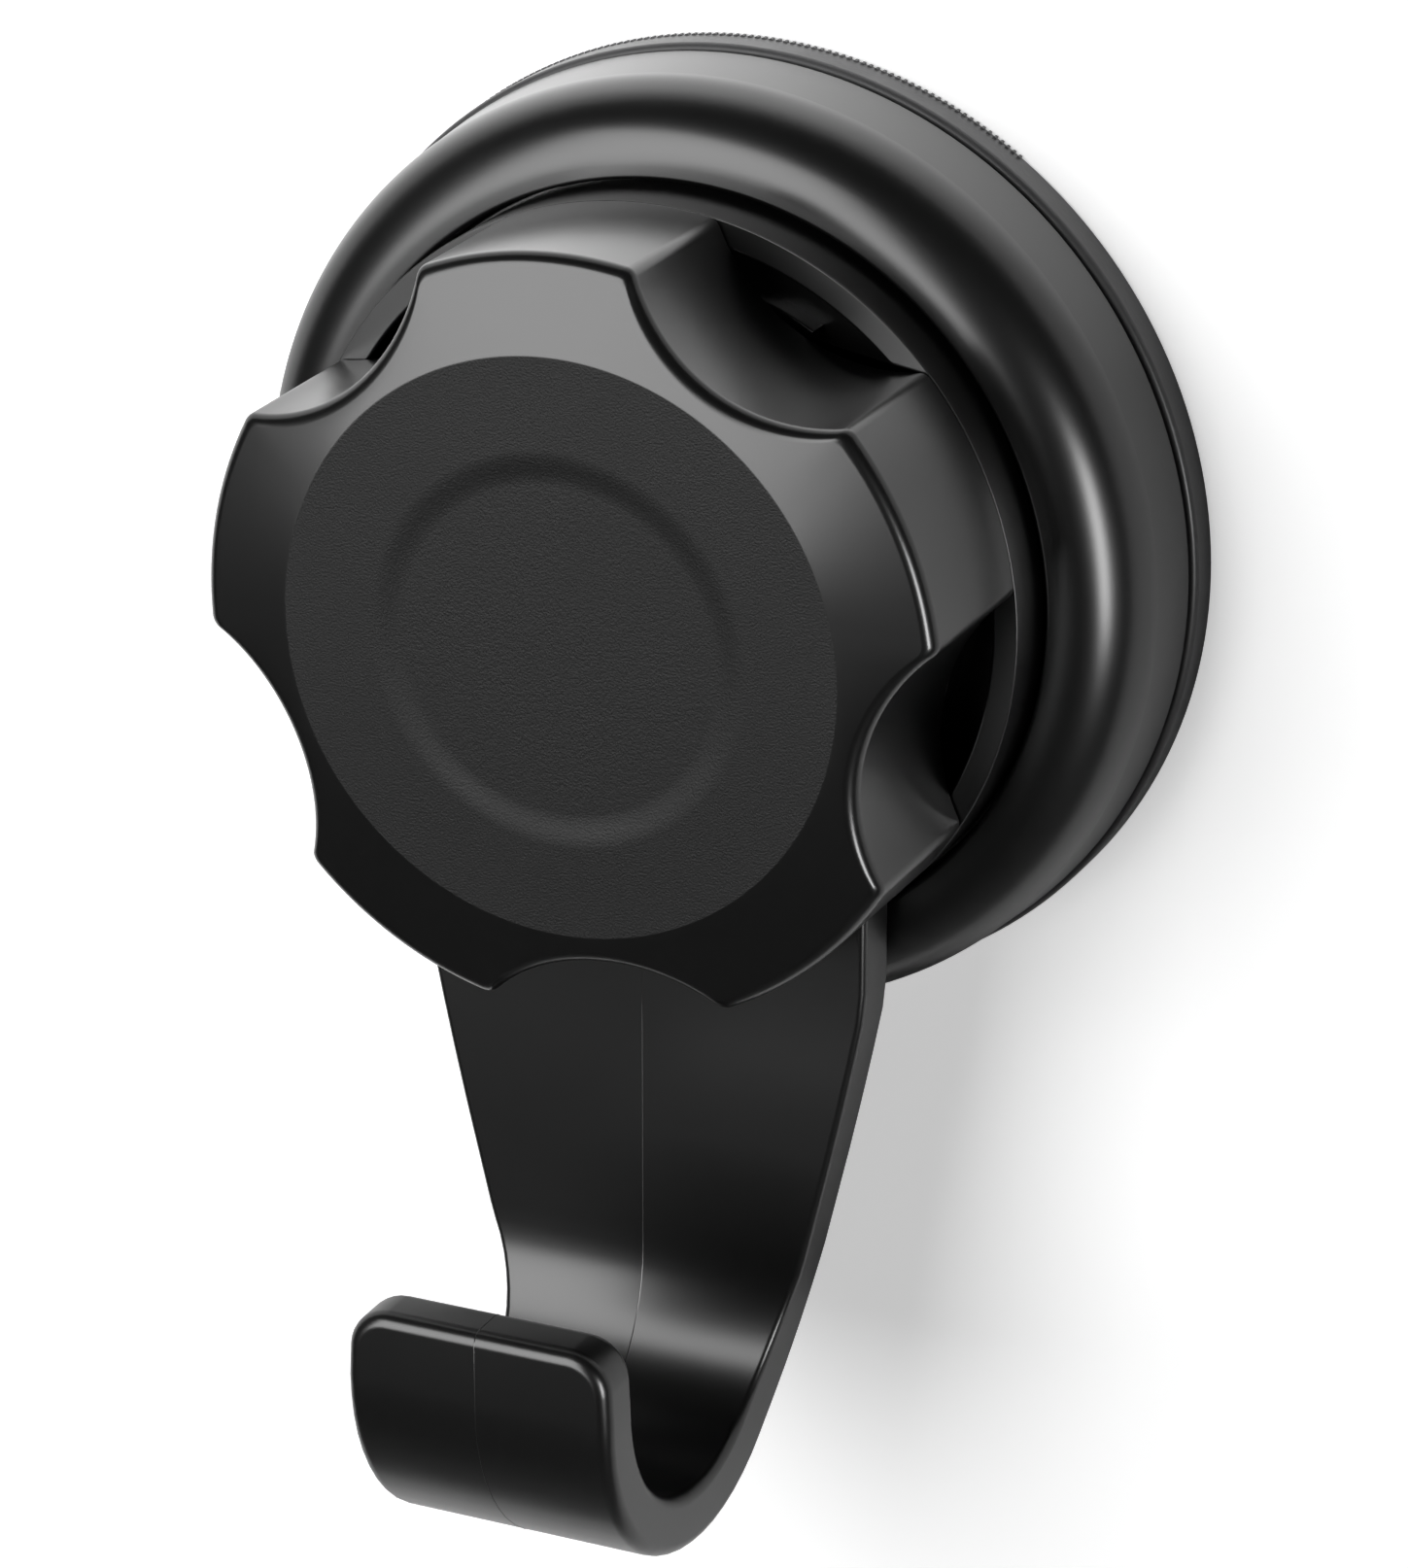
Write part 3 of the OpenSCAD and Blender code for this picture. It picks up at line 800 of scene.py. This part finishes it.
def knob_plastic(context):
    """The knob's black: satin on the lobes, and a fine spark grain on the disc."""
    made, tree, shader = material("knob black")
    shader.inputs["Base Color"].default_value = (*context.scene.finishes.black, 1)
    knob = context.scene.knob_sizes
    where = tree.nodes.new("ShaderNodeTexCoord")
    parts = tree.nodes.new("ShaderNodeSeparateXYZ")
    tree.links.new(where.outputs["Object"], parts.inputs[0])
    flat = tree.nodes.new("ShaderNodeCombineXYZ")
    tree.links.new(parts.outputs["X"], flat.inputs["X"])
    tree.links.new(parts.outputs["Z"], flat.inputs["Z"])
    away = tree.nodes.new("ShaderNodeVectorMath")
    away.operation = "LENGTH"
    tree.links.new(flat.outputs[0], away.inputs[0])
    on_disc = spread(tree, away.outputs["Value"], 1, 0, (knob.disc_r - 0.15 * MM, knob.disc_r - 0.05 * MM))
    cloud = grain(tree, 90)
    lobes_rough = spread(tree, cloud.outputs["Fac"], 0.28, 0.31)
    disc_rough = spread(tree, cloud.outputs["Fac"], 0.42, 0.48)
    mix = tree.nodes.new("ShaderNodeMix")
    tree.links.new(on_disc, mix.inputs["Factor"])
    tree.links.new(lobes_rough, mix.inputs["A"])
    tree.links.new(disc_rough, mix.inputs["B"])
    tree.links.new(mix.outputs["Result"], shader.inputs["Roughness"])
    tree.links.new(spread(tree, on_disc, 0.9, 0, (0, 1)), shader.inputs["Coat Weight"])
    shader.inputs["Coat Roughness"].default_value = 0.2
    shader.inputs["IOR"].default_value = 1.42
    spark = grain(tree, 1 / context.scene.finishes.grain, 3)
    height = tree.nodes.new("ShaderNodeMath")
    height.operation = "MULTIPLY"
    tree.links.new(spark.outputs["Fac"], height.inputs[0])
    tree.links.new(on_disc, height.inputs[1])
    bump(tree, shader, height.outputs[0], 0.04 * MM, 0.8)
    return made


def rubber(context):
    """Soft dark rubber with a dusty, uneven sheen."""
    made, tree, shader = material("cup rubber")
    cloud = grain(tree, 160, 4)
    low, high = (tuple(c * k for c in context.scene.finishes.rubber) for k in (0.8, 1.25))
    ramp = tree.nodes.new("ShaderNodeValToRGB")
    ramp.color_ramp.elements[0].color = (*low, 1)
    ramp.color_ramp.elements[1].color = (*high, 1)
    tree.links.new(cloud.outputs["Fac"], ramp.inputs["Fac"])
    tree.links.new(ramp.outputs["Color"], shader.inputs["Base Color"])
    tree.links.new(spread(tree, cloud.outputs["Fac"], 0.36, 0.5), shader.inputs["Roughness"])
    shader.inputs["Sheen Weight"].default_value = 0.4
    shader.inputs["Sheen Roughness"].default_value = 0.4
    fine = grain(tree, 3000, 2)
    bump(tree, shader, fine.outputs["Fac"], 0.02 * MM, 0.5)
    return made


def screw_plastic(context):
    """Plain moulded plastic with faint rings from its thread."""
    made, tree, shader = material("screw plastic")
    shader.inputs["Base Color"].default_value = (*context.scene.finishes.screw, 1)
    cloud = grain(tree, 200)
    tree.links.new(spread(tree, cloud.outputs["Fac"], 0.35, 0.45), shader.inputs["Roughness"])
    rings = tree.nodes.new("ShaderNodeTexWave")
    rings.bands_direction = "Y"
    rings.inputs["Scale"].default_value = 1 / (2 * MM) * math.pi / 10
    where = tree.nodes.new("ShaderNodeTexCoord")
    tree.links.new(where.outputs["Object"], rings.inputs["Vector"])
    bump(tree, shader, rings.outputs["Fac"], 0.2 * MM, 0.6)
    return made


def backdrop_paint(context):
    """White paint for the backdrop, clear from behind so that the object's back can be seen. It glows evenly for the
    camera. For glossy rays it also glows in a painted pool of light round a point just above the object, which paints
    bright reflections into the object's upward faces.
    """
    made, tree, shader = material("backdrop paint")
    studio = context.scene.studio_settings
    shader.inputs["Base Color"].default_value = (*context.scene.finishes.backdrop, 1)
    shader.inputs["Roughness"].default_value = 0.9
    shader.inputs["Specular IOR Level"].default_value = 0
    path = tree.nodes.new("ShaderNodeLightPath")
    where = tree.nodes.new("ShaderNodeTexCoord")
    away = tree.nodes.new("ShaderNodeVectorMath")
    away.operation = "DISTANCE"
    away.inputs[1].default_value = (-0.009, 0, 0.049)
    tree.links.new(where.outputs["Object"], away.inputs[0])
    # Painted light: only glossy rays see this glow. It is full within 15 mm of the point above the object and gone at
    # 55 mm, so it paints a reflection onto the object without lighting it.
    painted_glow_pool = spread(tree, away.outputs["Value"], studio.painted_reflection_glow, 0, (0.015, 0.055))
    seen = tree.nodes.new("ShaderNodeMath")
    seen.operation = "MULTIPLY"
    tree.links.new(path.outputs["Is Glossy Ray"], seen.inputs[0])
    tree.links.new(painted_glow_pool, seen.inputs[1])
    glow = tree.nodes.new("ShaderNodeMath")
    glow.operation = "MULTIPLY_ADD"
    tree.links.new(path.outputs["Is Camera Ray"], glow.inputs[0])
    glow.inputs[1].default_value = studio.wall_glow
    tree.links.new(seen.outputs[0], glow.inputs[2])
    shader.inputs["Emission Color"].default_value = (1, 1, 1, 1)
    tree.links.new(glow.outputs[0], shader.inputs["Emission Strength"])
    clear = tree.nodes.new("ShaderNodeBsdfTransparent")
    side = tree.nodes.new("ShaderNodeNewGeometry")
    mix = tree.nodes.new("ShaderNodeMixShader")
    tree.links.new(side.outputs["Backfacing"], mix.inputs[0])
    tree.links.new(shader.outputs[0], mix.inputs[1])
    tree.links.new(clear.outputs[0], mix.inputs[2])
    tree.links.new(mix.outputs[0], tree.nodes["Material Output"].inputs["Surface"])
    return made


class VIEW3D_PT_cup_hook(bpy.types.Panel):
    """Lists the sizes, the finishes and the steps that build the hook"""
    bl_idname = "VIEW3D_PT_cup_hook"
    bl_label = "Suction Cup Hook"
    bl_space_type = "VIEW_3D"
    bl_region_type = "UI"
    bl_category = "Cup Hook"

    def draw(self, context):
        for group in GROUPS:
            box = self.layout.box()
            box.label(text=group.replace("_", " ").capitalize())
            settings = getattr(context.scene, group)
            for key in settings.__annotations__:
                box.prop(settings, key)
        for step in STEPS:
            self.layout.operator(step.bl_idname)


GROUPS = {
    "cup_sizes": CupSizes,
    "housing_sizes": HousingSizes,
    "hook_sizes": HookSizes,
    "knob_sizes": KnobSizes,
    "finishes": Finishes,
    "studio_settings": StudioSettings,
}
STEPS = (MESH_OT_cup_hook_cup, MESH_OT_cup_hook_screw, MESH_OT_cup_hook_housing, MESH_OT_cup_hook_hook,
         MESH_OT_cup_hook_knob, SCENE_OT_cup_hook_studio)


def register():
    for name, group in GROUPS.items():
        bpy.utils.register_class(group)
        setattr(bpy.types.Scene, name, bpy.props.PointerProperty(type=group))
    for made in (*STEPS, VIEW3D_PT_cup_hook):
        bpy.utils.register_class(made)


def unregister():
    for made in reversed((*STEPS, VIEW3D_PT_cup_hook)):
        bpy.utils.unregister_class(made)
    for name, group in reversed(GROUPS.items()):
        delattr(bpy.types.Scene, name)
        bpy.utils.unregister_class(group)


def main():
    """Builds everything in order."""
    register()
    bpy.ops.mesh.cup_hook_cup()
    bpy.ops.mesh.cup_hook_screw()
    bpy.ops.mesh.cup_hook_housing()
    bpy.ops.mesh.cup_hook_hook()
    bpy.ops.mesh.cup_hook_knob()
    bpy.ops.scene.cup_hook_studio()


if __name__ == "__main__":
    main()
